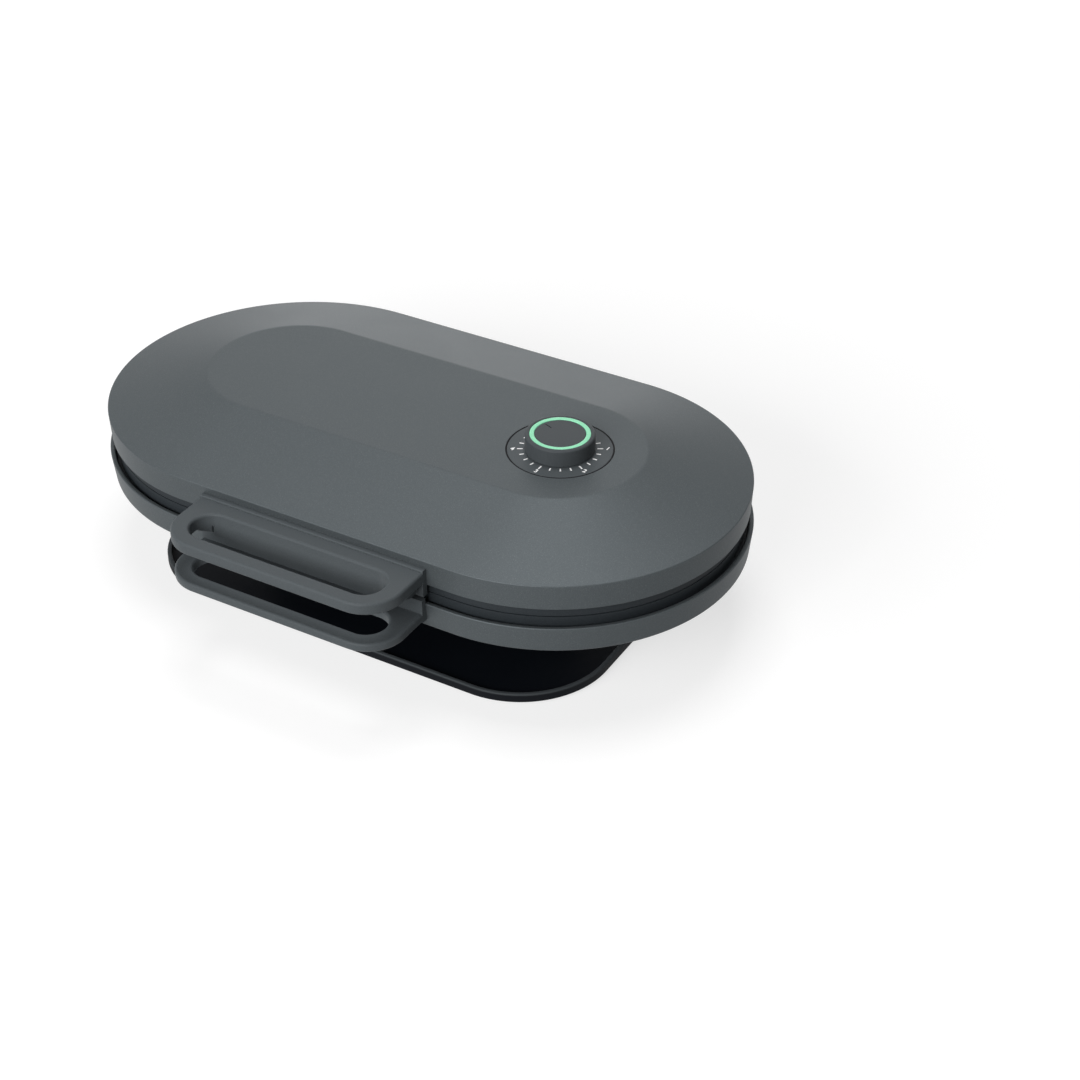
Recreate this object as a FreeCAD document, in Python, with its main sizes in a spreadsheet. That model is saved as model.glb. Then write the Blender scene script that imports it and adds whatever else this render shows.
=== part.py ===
import FreeCAD, Part
import math
import os
import Sketcher

# Waffle maker with two round plates side by side, in millimetres.
# X runs along the oval body, -Y is the front with the handles, Z is up from the table.

sizes = {
    # oval outline and the heights of its levels
    "half_straight": 95.0,
    "rim_radius": 120.0,
    "plateau_half": 96.2,
    "plateau_radius": 55.0,
    "parting_height": 75.0,
    "parting_gap": 0.6,
    "lid_band": 6.8,
    "lid_skirt": 16.6,
    "lid_rise": 17.0,
    "skirt_draft": 0.8,
    "lower_band": 4.5,
    "lower_skirt": 16.8,
    "lower_flare": 1.5,
    "lower_tuck": 0.3,
    "belly_depth": 17.0,
    "wall": 3.0,
    "shoulder_drop": 2.25,
    "crease_round": 1.2,
    "drill_depth": 12.0,
    "fit_gap": 0.4,
    "slip_gap": 0.05,
    # frames that hold the plates
    "frame_thickness": 4.0,
    "frame_wall": 3.0,
    "upper_frame_depth": 8.7,
    "groove_depth": 8.2,
    "groove_floor": 1.3,
    # waffle plates with five hearts each
    "plate_spacing": 94.0,
    "plate_radius": 84.0,
    "plate_flange": 93.0,
    "flange_thickness": 3.0,
    "plate_cup": 81.0,
    "plate_depth": 12.5,
    "heart_depth": 9.0,
    "heart_lobe": 18.0,
    "heart_lobe_offset": 16.5,
    "heart_ridge": 3.0,
    "ridge_drop": 3.0,
    "ridge_field": 60.0,
    "stud_side": 6.4,
    "stud_height": 5.0,
    "stud_pitch": 13.0,
    "stud_start": 20.0,
    # heating elements
    "heater_radius": 50.0,
    "heater_width": 6.4,
    "heater_height": 5.5,
    "terminal_radius": 2.0,
    "terminal_length": 9.0,
    # screws
    "screw_shank": 1.5,
    "screw_head": 2.9,
    "screw_head_height": 2.0,
    "screw_grip": 9.0,
    "pilot_floor": 1.0,
    "screw_end_gap": 0.5,
    "boss_radius": 4.5,
    "boss_inset": 18.0,
    "boss_angle": 55.0,
    # dial and knob
    "dial_x": 98.5,
    "dial_radius": 33.2,
    "dial_thickness": 1.6,
    "knob_radius": 21.2,
    "knob_height": 10.7,
    "knob_lift": 0.4,
    "knob_round": 1.0,
    "knob_skirt": 2.1,
    "knob_web": 2.3,
    "light_outer": 18.4,
    "light_inner": 15.6,
    "cap_sink": 0.3,
    "hub_radius": 6.0,
    "hub_height": 3.5,
    "shaft_radius": 3.0,
    "bush_radius": 5.0,
    "bush_stand": 1.9,
    "nut_radius": 7.2,
    "nut_height": 1.7,
    "thermostat_side": 24.0,
    "thermostat_height": 14.0,
    "board_inner": 18.0,
    "board_outer": 28.0,
    "board_thickness": 1.6,
    # handles
    "handle_half": 79.0,
    "handle_reach": 48.0,
    "handle_corner": 24.0,
    "handle_drop": 6.0,
    "upper_handle_thickness": 8.0,
    "lower_handle_thickness": 6.0,
    "lower_handle_drop": 34.0,
    "slot_half": 67.0,
    "slot_width": 25.0,
    "slot_setback": 13.0,
    "flange_wall": 3.5,
    "rib_start": 62.0,
    "rib_width": 12.0,
    "rib_reach": 19.0,
    "rib_toe": 6.0,
    "handle_round": 1.8,
    "flange_lip": 1.3,
    "lip_round": 0.6,
    "rib_lift": 1.0,
    "handle_screw_x": 50.0,
    "handle_screw_length": 10.0,
    # hinge
    "hinge_setback": 13.0,
    "hinge_x": 60.0,
    "knuckle_radius": 8.0,
    "pin_radius": 3.0,
    "arm_width": 16.0,
    "cheek_width": 8.0,
    "hinge_side_gap": 0.4,
    "arm_top": 9.0,
    "arm_rise": 4.8,
    "arm_foot": 1.0,
    "bracket_foot": 1.6,
    "bracket_web": 8.0,
    # stand
    "foot_radius": 9.0,
    "foot_height": 2.5,
    "foot_sink": 1.0,
    "foot_x": 125.0,
    "foot_y": 75.0,
    "base_half_x": 158.0,
    "base_half_y": 106.6,
    "base_corner": 59.6,
    "base_rim": 6.0,
    "base_floor": 3.0,
    "base_rim_width": 3.0,
    "base_round": 1.0,
    "pedestal_half": 62.0,
    "pedestal_radius": 48.0,
    "pedestal_flare": 4.0,
    "pedestal_wall": 4.0,
    "pedestal_boss": 6.0,
    "pedestal_screw_x": 60.0,
    "pedestal_screw_y": 30.0,
    # inside the lower housing
    "fuse_length": 20.0,
    "fuse_width": 8.0,
    "fuse_height": 6.0,
    "terminal_block_length": 40.0,
    "terminal_block_width": 16.0,
    "terminal_block_height": 14.0,
    "terminal_block_y": 30.0,
    "gland_radius": 4.2,
    "gland_bore": 3.0,
    "gland_length": 11.0,
    "gland_lip": 0.5,
    "gland_rise": 7.0,
    "gland_inset": 4.5,
}

# counts and turns, in degrees, that no size changes
hearts = 5
plate_screw_angles = (90, 210, 330)
heater_sweep = 300
heater_end = 6

doc = FreeCAD.newDocument("WaffleMaker")
sheet = doc.addObject("Spreadsheet::Sheet", "Sizes")
for row, (name, number) in enumerate(sizes.items(), start=1):
    sheet.set("A%d" % row, name)
    sheet.set("B%d" % row, str(number))
    sheet.setAlias("B%d" % row, name)
doc.recompute()


class Dim:
    # A length that knows its present value and the sheet expression behind it
    def __init__(self, value, text):
        self.value = value
        self.text = text

    def __add__(self, other):
        other = dim(other)
        return Dim(self.value + other.value, "(%s + %s)" % (self.text, other.text))

    def __sub__(self, other):
        other = dim(other)
        return Dim(self.value - other.value, "(%s - %s)" % (self.text, other.text))

    def __mul__(self, other):
        other = dim(other)
        return Dim(self.value * other.value, "(%s * %s)" % (self.text, other.text))

    def __truediv__(self, other):
        other = dim(other)
        return Dim(self.value / other.value, "(%s / %s)" % (self.text, other.text))

    def __neg__(self):
        return Dim(-self.value, "(-%s)" % self.text)

    def sine(self):
        return Dim(math.sin(math.radians(self.value)), "sin(%s * 1 deg)" % self.text)

    def cosine(self):
        return Dim(math.cos(math.radians(self.value)), "cos(%s * 1 deg)" % self.text)


def dim(thing):
    if isinstance(thing, Dim):
        return thing
    if isinstance(thing, str):
        return Dim(float(sizes[thing]), "Sizes." + thing)
    return Dim(float(thing), repr(float(thing)))


zero = dim(0)

# Levels above the table
base_bottom = dim("foot_height") - "foot_sink"
base_top = base_bottom + "base_floor"
lower_face = dim("parting_height") - dim("parting_gap") / 2
upper_face = dim("parting_height") + dim("parting_gap") / 2
lid_edge = upper_face + "lid_band"
rim_level = lid_edge + "lid_skirt"
plateau = rim_level + "lid_rise"
plateau_inside = plateau - "wall"
lower_rim = lower_face - "lower_band"
lower_edge = lower_rim - "lower_skirt"
belly = lower_edge - "belly_depth"
belly_inside = belly + "wall"
upper_frame_back = upper_face + "frame_thickness"
lower_frame_back = lower_face - "frame_thickness"

# Radii of the oval at those levels
lid_edge_radius = dim("rim_radius") - "skirt_draft"
band_radius = lid_edge_radius - "wall" - "fit_gap"
lower_rim_radius = dim("rim_radius") + "lower_flare"
lower_edge_radius = dim("rim_radius") - "lower_tuck"
slope_run = dim("rim_radius") - "plateau_radius"
shoulder_drop = dim("shoulder_drop")


def new_body(label):
    body = doc.addObject("PartDesign::Body", label)
    body.Label = label
    return body


def origin_plane(body, role):
    for feature in body.Origin.OriginFeatures:
        if feature.Role == role:
            return feature
    raise ValueError(role)


def new_sketch(body, role, level=zero):
    # level is measured along the plane's normal: +Z on XY, -Y on XZ, +X on YZ
    sketch = body.newObject("Sketcher::SketchObject", body.Name + "_sketch")
    sketch.AttachmentSupport = (origin_plane(body, role), [""])
    sketch.MapMode = "FlatFace"
    sketch.setExpression("AttachmentOffset.Base.z", dim(level).text)
    return sketch


def bind(sketch, kind, *where, length):
    index = sketch.addConstraint(Sketcher.Constraint(kind, *where, length.value))
    sketch.setExpression("Constraints[%d]" % index, length.text)


def place_point(sketch, element, point, x, y):
    for kind, length in (("DistanceX", x), ("DistanceY", y)):
        bind(sketch, kind, -1, 1, element, point, length=length)


def vector(x, y):
    return FreeCAD.Vector(x.value, y.value, 0)


def add_circle(sketch, x, y, radius):
    x, y, radius = dim(x), dim(y), dim(radius)
    circle = Part.Circle(vector(x, y), FreeCAD.Vector(0, 0, 1), radius.value)
    element = sketch.addGeometry(circle, False)
    place_point(sketch, element, 3, x, y)
    bind(sketch, "Radius", element, length=radius)


def add_polygon(sketch, points):
    points = [(dim(x), dim(y)) for x, y in points]
    first = None
    for start, end in zip(points, points[1:] + points[:1]):
        line = Part.LineSegment(vector(*start), vector(*end))
        element = sketch.addGeometry(line, False)
        if first is None:
            first = element
        else:
            sketch.addConstraint(Sketcher.Constraint("Coincident", element - 1, 2, element, 1))
        place_point(sketch, element, 1, *start)
    sketch.addConstraint(Sketcher.Constraint("Coincident", element, 2, first, 1))


def add_box(sketch, x, y, width, depth):
    x, y = dim(x), dim(y)
    half_x, half_y = dim(width) / 2, dim(depth) / 2
    add_polygon(sketch, [(x - half_x, y - half_y), (x + half_x, y - half_y),
                         (x + half_x, y + half_y), (x - half_x, y + half_y)])


def add_arc(sketch, x, y, radius, start, end):
    circle = Part.Circle(vector(x, y), FreeCAD.Vector(0, 0, 1), radius.value)
    arc = Part.ArcOfCircle(circle, math.radians(start), math.radians(end))
    element = sketch.addGeometry(arc, False)
    place_point(sketch, element, 3, x, y)
    return element


def join(sketch, kind, *ends):
    sketch.addConstraint(Sketcher.Constraint(kind, *ends))


def add_oval(sketch, half, radius, y=zero):
    # two straight sides joined by half circles, centred on X = 0
    half, radius, y = dim(half), dim(radius), dim(y)
    right = add_arc(sketch, half, y, radius, -90, 90)
    left = add_arc(sketch, -half, y, radius, 90, 270)
    top = sketch.addGeometry(Part.LineSegment(vector(-half, y + radius), vector(half, y + radius)), False)
    bottom = sketch.addGeometry(Part.LineSegment(vector(half, y - radius), vector(-half, y - radius)), False)
    join(sketch, "Tangent", top, 2, right, 2)
    join(sketch, "Tangent", bottom, 1, right, 1)
    join(sketch, "Tangent", top, 1, left, 1)
    join(sketch, "Tangent", bottom, 2, left, 2)
    bind(sketch, "Radius", right, length=radius)


def add_rounded_box(sketch, half_x, half_y, corner):
    half_x, half_y, corner = dim(half_x), dim(half_y), dim(corner)
    in_x, in_y = half_x - corner, half_y - corner
    arcs = []
    for sign_x, sign_y, start in ((1, 1, 0), (-1, 1, 90), (-1, -1, 180), (1, -1, 270)):
        arcs.append(add_arc(sketch, in_x * sign_x, in_y * sign_y, corner, start, start + 90))
        bind(sketch, "Radius", arcs[-1], length=corner)
    for arc, following in zip(arcs, arcs[1:] + arcs[:1]):
        ends = sketch.Geometry[arc].EndPoint, sketch.Geometry[following].StartPoint
        line = sketch.addGeometry(Part.LineSegment(*ends), False)
        join(sketch, "Tangent", line, 1, arc, 2)
        join(sketch, "Tangent", line, 2, following, 1)


def feature(body, kind, sketch, length, back=False):
    made = body.newObject("PartDesign::" + kind, body.Name + "_" + kind.lower())
    made.Profile = sketch
    made.setExpression("Length", dim(length).text)
    made.Reversed = back
    return made


def pad(body, sketch, length, back=False):
    return feature(body, "Pad", sketch, length, back)


def pocket(body, sketch, length, back=False):
    # cuts against the sketch's normal unless it is turned back
    doc.recompute()
    before = body.Shape.Volume
    made = feature(body, "Pocket", sketch, length, back)
    doc.recompute()
    if body.Shape.Volume > before - 1e-3:
        raise RuntimeError("nothing was cut from " + body.Label)
    return made


def loft(body, sketches, kind="AdditiveLoft"):
    made = body.newObject("PartDesign::" + kind, body.Name + "_loft")
    made.Profile = sketches[0]
    made.Sections = sketches[1:]
    made.Ruled = True
    return made


def revolve(body, sketch, angle=360):
    made = body.newObject("PartDesign::Revolution", body.Name + "_turned")
    made.Profile = sketch
    made.ReferenceAxis = (sketch, ["V_Axis"])
    made.Angle = angle
    return made


def fillet(body, radius, wanted):
    # rounds the edges of the body for which wanted(edge) holds
    doc.recompute()
    base = body.Tip
    names = ["Edge%d" % (index + 1) for index, edge in enumerate(base.Shape.Edges) if wanted(edge)]
    made = body.newObject("PartDesign::Fillet", body.Name + "_round")
    made.Base = (base, names)
    made.setExpression("Radius", dim(radius).text)
    return made


def at_level(edge, level):
    box = edge.BoundBox
    return abs(box.ZMin - level.value) < 1e-4 and abs(box.ZMax - level.value) < 1e-4


def oval_sketch(body, half, radius, level):
    sketch = new_sketch(body, "XY_Plane", level)
    add_oval(sketch, half, radius)
    return sketch


def circles_sketch(body, places, radius, level, role="XY_Plane"):
    sketch = new_sketch(body, role, level)
    for x, y in places:
        add_circle(sketch, x, y, radius)
    return sketch


def mirrored(x, y):
    return [(dim(x) * i, dim(y) * j) for i in (1, -1) for j in (1, -1)]


boss_ring = dim("rim_radius") - "boss_inset"
boss_out = dim("half_straight") + boss_ring * dim("boss_angle").cosine()
boss_side = boss_ring * dim("boss_angle").sine()
boss_places = mirrored(boss_out, boss_side) + [(zero, boss_ring), (zero, -boss_ring)]
boss_slope = dim("lid_rise") * dim("boss_inset") / slope_run - dim("wall") / 2
boss_belly = dim("belly_depth") * dim("boss_inset") / slope_run - dim("wall") / 2
screw_hole = dim("screw_shank") + "slip_gap"
head_hole = dim("screw_head") + "fit_gap"
bush_hole = dim("bush_radius") + "slip_gap"
handle_places_x = [dim("handle_screw_x"), -dim("handle_screw_x")]
upper_screw_level = rim_level - "handle_drop" - dim("upper_handle_thickness") / 2
lower_screw_level = rim_level - "lower_handle_drop" - dim("lower_handle_thickness") / 2
gland_level = lower_edge + "gland_rise"
hinge_y = dim("rim_radius") + "hinge_setback"
plate_screw_ring = (dim("plate_radius") + "plate_flange") / 2
pedestal_places = mirrored("pedestal_screw_x", "pedestal_screw_y")
foot_places = mirrored("foot_x", "foot_y") + [(zero, zero)]


def lid_radius(level):
    # radius of the lid's outside on the drafted skirt
    return dim("rim_radius") - dim("skirt_draft") * (rim_level - level) / "lid_skirt"


def lower_radius(level):
    # radius of the lower housing's outside on its flared skirt
    rise = (level - lower_edge) / "lower_skirt"
    return lower_edge_radius + (lower_rim_radius - lower_edge_radius) * rise


def round_holes_front(body, level, start, length):
    # screw holes through the front wall, along Y
    sketch = circles_sketch(body, [(x, level) for x in handle_places_x], screw_hole, start, "XZ_Plane")
    pocket(body, sketch, length)


def lid_cover():
    body = new_body("lid_cover")
    loft(body, [oval_sketch(body, "half_straight", lid_edge_radius, lid_edge),
                oval_sketch(body, "half_straight", "rim_radius", rim_level),
                oval_sketch(body, "plateau_half", "plateau_radius", plateau)])
    shoulder = dim("rim_radius") - "wall"
    loft(body, [oval_sketch(body, "half_straight", lid_edge_radius - "wall", lid_edge),
                oval_sketch(body, "half_straight", shoulder, rim_level - shoulder_drop),
                oval_sketch(body, "plateau_half", "plateau_radius", plateau_inside)], "SubtractiveLoft")
    fillet(body, "crease_round", lambda edge: at_level(edge, rim_level))
    bosses = circles_sketch(body, boss_places, "boss_radius", upper_frame_back)
    pad(body, bosses, rim_level + boss_slope - upper_frame_back)
    pilots = circles_sketch(body, boss_places, screw_hole, upper_frame_back)
    pocket(body, pilots, "screw_grip", back=True)
    seat = circles_sketch(body, [("dial_x", zero)], dim("dial_radius") + "fit_gap", plateau)
    pocket(body, seat, "dial_thickness")
    hole = circles_sketch(body, [("dial_x", zero)], bush_hole, plateau)
    pocket(body, hole, "drill_depth")
    round_holes_front(body, upper_screw_level, dim("rim_radius") + "wall", "drill_depth")
    return body


def frame(label, face, back, sign):
    # sign is +1 for the upper frame, which reaches up from its face, and -1 for the lower one
    body = new_body(label)
    down = sign < 0
    pad(body, oval_sketch(body, "half_straight", band_radius, face), "frame_thickness", back=down)
    depth = dim("upper_frame_depth") if sign > 0 else dim("groove_depth") + "groove_floor"
    rim = oval_sketch(body, "half_straight", band_radius, face)
    add_oval(rim, "half_straight", band_radius - "frame_wall")
    pad(body, rim, depth, back=down)
    if down:
        shelf = oval_sketch(body, "half_straight", lower_radius(face - depth) - "wall" - "fit_gap", face - depth)
        add_oval(shelf, "half_straight", band_radius - "frame_wall")
        pad(body, shelf, "groove_floor")
    openings = [(dim("plate_spacing"), zero), (-dim("plate_spacing"), zero)]
    wells = circles_sketch(body, openings, dim("plate_radius") + "fit_gap", face)
    pocket(body, wells, dim("frame_thickness") * 2, back=not down)
    holes = circles_sketch(body, boss_places, screw_hole, face)
    pocket(body, holes, dim("frame_thickness") * 2, back=not down)
    sinks = circles_sketch(body, boss_places, head_hole, face)
    pocket(body, sinks, "screw_head_height", back=not down)
    pilots = []
    for side in (1, -1):
        for x, y in plate_screw_places():
            pilots.append((dim("plate_spacing") * side + x, y * -sign))
    blind = circles_sketch(body, pilots, screw_hole, back)
    pocket(body, blind, dim("frame_thickness") - "pilot_floor", back=down)
    return body


def plate_screw_places():
    places = []
    for angle in plate_screw_angles:
        turn = dim(angle)
        places.append((plate_screw_ring * turn.cosine(), plate_screw_ring * turn.sine()))
    return places


def heart_sketch(body, level):
    # one heart with its tip at the centre; its sides run along the ridges to the next hearts
    sketch = new_sketch(body, "XY_Plane", level)
    half_turn = dim(180) / hearts
    lobe, offset = dim("heart_lobe"), dim("heart_lobe_offset")
    ridge = dim("heart_ridge") / 2
    tip = ridge / half_turn.sine()
    reach = (lobe + ridge + offset * half_turn.cosine()) / half_turn.sine()
    dip = math.degrees(math.asin(offset.value / lobe.value))
    lean = 90 + half_turn.value
    upper = add_arc(sketch, reach, offset, lobe, -dip, lean)
    lower = add_arc(sketch, reach, -offset, lobe, -lean, dip)
    sides = []
    for arc, point in ((upper, "EndPoint"), (lower, "StartPoint")):
        end = getattr(sketch.Geometry[arc], point)
        sides.append(sketch.addGeometry(Part.LineSegment(vector(tip, zero), end), False))
    join(sketch, "Tangent", sides[0], 2, upper, 2)
    join(sketch, "Tangent", sides[1], 2, lower, 1)
    join(sketch, "Coincident", upper, 1, lower, 2)
    join(sketch, "Coincident", sides[0], 1, sides[1], 1)
    bind(sketch, "Radius", upper, length=lobe)
    bind(sketch, "Radius", lower, length=lobe)
    bind(sketch, "DistanceX", -1, 1, sides[0], 1, length=tip)
    return sketch


def five_times(body, features):
    doc.recompute()
    pattern = body.newObject("PartDesign::PolarPattern", body.Name + "_round_five")
    pattern.Originals = features
    pattern.Axis = (origin_plane(body, "Z_Axis"), [""])
    pattern.Angle = 360
    pattern.Occurrences = hearts
    body.Tip = pattern
    doc.recompute()


def waffle_plate(label, side, face, up):
    # modelled face up at its own centre, and turned over for the lid
    body = new_body(label)
    turned = new_sketch(body, "XZ_Plane")
    back = -dim("plate_depth")
    seat = -dim("frame_thickness")
    under = seat - "flange_thickness"
    add_polygon(turned, [(zero, zero), ("plate_radius", zero), ("plate_radius", seat), ("plate_flange", seat),
                         ("plate_flange", under), ("plate_cup", under), ("plate_cup", back), (zero, back)])
    revolve(body, turned)
    field = circles_sketch(body, [(zero, zero)], "ridge_field", zero)
    pocket(body, field, "ridge_drop")
    heart = pocket(body, heart_sketch(body, zero), "heart_depth")
    five_times(body, [heart])
    grid = new_sketch(body, "XY_Plane", -dim("heart_depth"))
    for line in range(4):
        x = dim("stud_start") + dim("stud_pitch") * line
        for column in range(line + 1):
            add_box(grid, x, dim("stud_pitch") * (column - line / 2), "stud_side", "stud_side")
    studs = pad(body, grid, "stud_height")
    five_times(body, [studs])
    holes = circles_sketch(body, plate_screw_places(), screw_hole, under)
    pocket(body, holes, dim("flange_thickness") * 2, back=True)
    place_half(body, side, face, up)
    return body


def place_half(body, side, face, up):
    body.setExpression("Placement.Base.x", (dim("plate_spacing") * side).text)
    body.setExpression("Placement.Base.z", face.text)
    if not up:
        body.Placement.Rotation = FreeCAD.Rotation(FreeCAD.Vector(1, 0, 0), 180)


def heater(label, side, face, up):
    # a flat-backed ring of tube, open at one end, with a terminal at each end
    body = new_body(label)
    ring = new_sketch(body, "XZ_Plane")
    half, middle = dim("heater_width") / 2, dim("heater_radius")
    top = -dim("plate_depth")
    low = top - "heater_height"
    knee = top - dim("heater_height") / 2
    add_polygon(ring, [(middle - half, top), (middle + half, top), (middle + half, knee),
                       (middle + half / 2, low), (middle - half / 2, low), (middle - half, knee)])
    revolve(body, ring, heater_sweep)
    ends = []
    for angle in (heater_end, heater_sweep - heater_end):
        turn = dim(angle)
        ends.append((middle * turn.cosine(), middle * turn.sine()))
    posts = circles_sketch(body, ends, "terminal_radius", knee)
    pad(body, posts, "terminal_length", back=True)
    place_half(body, side, face, up)
    return body


def screws(label, places, seat, length, head_up, role="XY_Plane"):
    # seat is where the head's underside rests; the shank runs on from there
    body = new_body(label)
    heads = circles_sketch(body, places, "screw_head", seat, role)
    pad(body, heads, "screw_head_height", back=not head_up)
    shanks = circles_sketch(body, places, "screw_shank", seat, role)
    pad(body, shanks, length, back=head_up)
    return body


def plate_screws(label, face, sign):
    places = []
    for side in (1, -1):
        for x, y in plate_screw_places():
            places.append((dim("plate_spacing") * side + x, y * -sign))
    seat = face + (dim("frame_thickness") + "flange_thickness") * sign
    length = dim("frame_thickness") + "flange_thickness" - "pilot_floor" - "screw_end_gap"
    return screws(label, places, seat, length, head_up=sign > 0)


def frame_screws(label, face, sign):
    seat = face + dim("screw_head_height") * sign
    length = dim("frame_thickness") - "screw_head_height" + "screw_grip" - "screw_end_gap"
    return screws(label, boss_places, seat, length, head_up=sign < 0)


def dial_plate():
    body = new_body("dial_plate")
    disc = circles_sketch(body, [(zero, zero)], "dial_radius", zero)
    add_circle(disc, zero, zero, bush_hole)
    pad(body, disc, "dial_thickness")
    place_on_dial(body, plateau - "dial_thickness")
    return body


def place_on_dial(body, level):
    body.setExpression("Placement.Base.x", dim("dial_x").text)
    body.setExpression("Placement.Base.z", level.text)


def thermostat():
    body = new_body("thermostat")
    case = new_sketch(body, "XY_Plane", -dim("thermostat_height"))
    add_box(case, zero, zero, "thermostat_side", "thermostat_side")
    pad(body, case, "thermostat_height")
    bush = circles_sketch(body, [(zero, zero)], "bush_radius", zero)
    top = dim("wall") + "bush_stand"
    pad(body, bush, top)
    bore = circles_sketch(body, [(zero, zero)], dim("shaft_radius") + "slip_gap", top)
    pocket(body, bore, top + dim("thermostat_height") / 2)
    place_on_dial(body, plateau_inside)
    return body


def thermostat_nut():
    body = new_body("thermostat_nut")
    hexagon = new_sketch(body, "XY_Plane")
    corners = []
    for corner in range(6):
        turn = dim(60 * corner)
        corners.append((dim("nut_radius") * turn.cosine(), dim("nut_radius") * turn.sine()))
    add_polygon(hexagon, corners)
    add_circle(hexagon, zero, zero, bush_hole)
    pad(body, hexagon, "nut_height")
    place_on_dial(body, plateau)
    return body


def indicator_board():
    body = new_body("indicator_board")
    ring = circles_sketch(body, [(zero, zero)], "board_outer", zero)
    add_circle(ring, zero, zero, "board_inner")
    pad(body, ring, "board_thickness", back=True)
    place_on_dial(body, plateau_inside)
    return body


web_low = dim("knob_skirt")
web_top = web_low + "knob_web"
hub_top = web_top + "hub_height"
knob_level = plateau + "knob_lift"


def knob_grip():
    body = new_body("knob_grip")
    half = new_sketch(body, "XZ_Plane")
    rim = dim("light_outer") + "slip_gap"
    bore = dim("shaft_radius") + "slip_gap"
    skirt = dim("knob_radius") - "wall"
    add_polygon(half, [(bore, web_low), (skirt, web_low), (skirt, zero), ("knob_radius", zero),
                       ("knob_radius", "knob_height"), (rim, "knob_height"), (rim, web_top),
                       ("hub_radius", web_top), ("hub_radius", hub_top), (bore, hub_top)])
    revolve(body, half)
    fillet(body, "knob_round", lambda edge: edge.BoundBox.XMax > sizes["knob_radius"] - 1e-3
           and at_level(edge, dim("knob_height")))
    place_on_dial(body, knob_level)
    return body


def light_ring():
    body = new_body("light_ring")
    ring = circles_sketch(body, [(zero, zero)], "light_outer", web_top)
    add_circle(ring, zero, zero, "light_inner")
    pad(body, ring, dim("knob_height") - web_top)
    place_on_dial(body, knob_level)
    return body


def knob_cap():
    body = new_body("knob_cap")
    half = new_sketch(body, "XZ_Plane")
    outer = dim("light_inner") - "slip_gap"
    top = dim("knob_height") - "cap_sink"
    hub = dim("hub_radius") + "slip_gap"
    roof = hub_top + "fit_gap"
    add_polygon(half, [(hub, web_top), (outer, web_top), (outer, top), (zero, top), (zero, roof), (hub, roof)])
    revolve(body, half)
    place_on_dial(body, knob_level)
    return body


def knob_shaft():
    body = new_body("knob_shaft")
    stem = circles_sketch(body, [(zero, zero)], "shaft_radius", hub_top)
    bore_floor = plateau_inside - dim("thermostat_height") / 2
    pad(body, stem, knob_level + hub_top - bore_floor - "fit_gap", back=True)
    place_on_dial(body, knob_level)
    return body


def in_slot(edge):
    rear = -(sizes["rim_radius"] + sizes["slot_setback"])
    box = edge.BoundBox
    return box.YMax < rear + 1e-3 and box.YMin > rear - sizes["slot_width"] - 1e-3


def slot_outline(sketch):
    slot_radius = dim("slot_width") / 2
    slot_rear = -(dim("rim_radius") + "slot_setback")
    add_oval(sketch, dim("slot_half") - slot_radius, slot_radius, slot_rear - slot_radius)


def handle(label, top, thickness, wall_low, wall_top, outside, knee):
    # a plate with a finger slot, on a wall that lies against the oval's straight front
    body = new_body(label)
    front = -(dim("rim_radius") + "handle_reach")
    wall_front = -(outside(wall_top) + "flange_wall")
    plan = new_sketch(body, "XY_Plane", top)
    half, corner = dim("handle_half"), dim("handle_corner")
    right = add_arc(plan, half - corner, front + corner, corner, -90, 0)
    left = add_arc(plan, corner - half, front + corner, corner, 180, 270)
    bind(plan, "Radius", right, length=corner)
    bind(plan, "Radius", left, length=corner)
    corners = [vector(half, front + corner), vector(half, wall_front), vector(-half, wall_front),
               vector(-half, front + corner)]
    sides = [plan.addGeometry(Part.LineSegment(a, b), False) for a, b in zip(corners, corners[1:])]
    nose = plan.addGeometry(Part.LineSegment(vector(corner - half, front), vector(half - corner, front)), False)
    join(plan, "Tangent", sides[0], 1, right, 2)
    join(plan, "Coincident", sides[0], 2, sides[1], 1)
    join(plan, "Coincident", sides[1], 2, sides[2], 1)
    join(plan, "Tangent", sides[2], 2, left, 1)
    join(plan, "Tangent", nose, 1, left, 2)
    join(plan, "Tangent", nose, 2, right, 1)
    join(plan, "Horizontal", sides[1])
    bind(plan, "DistanceY", -1, 1, sides[1], 1, length=wall_front)
    slot_outline(plan)
    pad(body, plan, thickness, back=True)
    fillet(body, "handle_round", lambda edge: edge.BoundBox.YMin < wall_front.value - 1
           and edge.BoundBox.YMax < wall_front.value + 1e-3
           and (at_level(edge, top) or at_level(edge, top - thickness) and not in_slot(edge)))
    wall = new_sketch(body, "YZ_Plane", -half)
    add_polygon(wall, [(-outside(wall_low), wall_low), (wall_front, wall_low), (wall_front, wall_top),
                       (-outside(wall_top), wall_top), (-outside(knee), knee)])
    pad(body, wall, half * 2)
    return body, wall_front


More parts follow.
